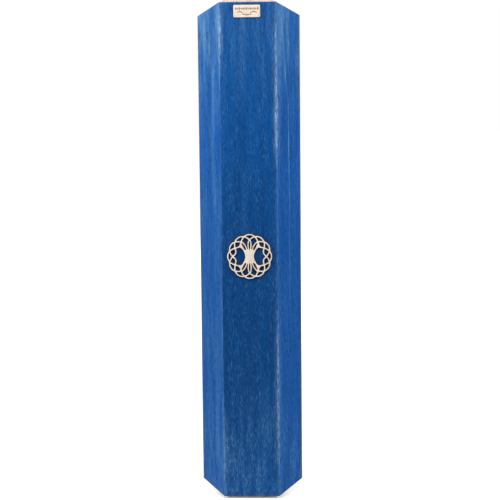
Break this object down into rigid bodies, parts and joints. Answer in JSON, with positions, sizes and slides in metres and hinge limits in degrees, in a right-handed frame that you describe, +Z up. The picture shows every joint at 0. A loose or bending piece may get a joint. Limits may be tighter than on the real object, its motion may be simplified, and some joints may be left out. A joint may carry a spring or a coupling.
{
  "type": "mezuzah case",
  "caption": "Long faceted wooden mezuzah case: a stained cover with a tree emblem, held by magnets on a screwed wall plate over a rolled parchment.",
  "frame": {"origin": "middle of the wall plate's back face, which lies on the doorpost", "axes": "+Z up along the case, +X to the right seen from the front, +Y into the doorpost, so the decorated front faces -Y"},
  "size_m": [0.0516, 0.0312, 0.2528],
  "materials": {
    "stained_wood": "blue stain with a satin oil finish, worn along the corners",
    "plate_wood": "bare sanded light plywood",
    "block_wood": "bare sanded hardwood, end grain outwards",
    "cradle_wood": "bare sanded beech",
    "pin_wood": "turned beech dowel",
    "emblem_wood": "laser-cut birch with browned edges",
    "plaque_wood": "laser-engraved birch veneer",
    "screw_brass": "bright drawn brass",
    "magnet_nickel": "nickel plate",
    "parchment": "smooth animal-skin parchment",
    "wrapping_paper": "thin waxed paper",
    "band_rubber": "natural rubber"
  },
  "bodies": {
    "wall_plate": {"back_plate": "plate_wood", "wall_screws": "screw_brass", "upper_cradle": "cradle_wood", "lower_cradle": "cradle_wood", "plate_magnets": "magnet_nickel"},
    "cover": {"front_panel": "stained_wood", "left_side_panel": "stained_wood", "right_side_panel": "stained_wood", "top_end_block": "block_wood", "bottom_end_block": "block_wood", "left_corner_lining": "plate_wood", "right_corner_lining": "plate_wood", "cover_magnets": "magnet_nickel", "locating_pins": "pin_wood", "tree_emblem": "emblem_wood", "name_plaque": "plaque_wood"},
    "scroll": {"parchment_scroll": "parchment", "scroll_wrapper": "wrapping_paper", "scroll_bands": "band_rubber"}
  },
  "joints": [
    {"name": "cover_lift", "type": "slide", "parent": "wall_plate", "child": "cover", "axis": [0, -1, 0], "range_m": [0, 0.06]},
    {"name": "scroll_lift", "type": "slide", "parent": "wall_plate", "child": "scroll", "axis": [0, -1, 0], "range_m": [0, 0.024]}
  ],
  "couplings": [
    {"joint": "scroll_lift", "follows": "cover_lift", "ratio": 0.4}
  ]
}
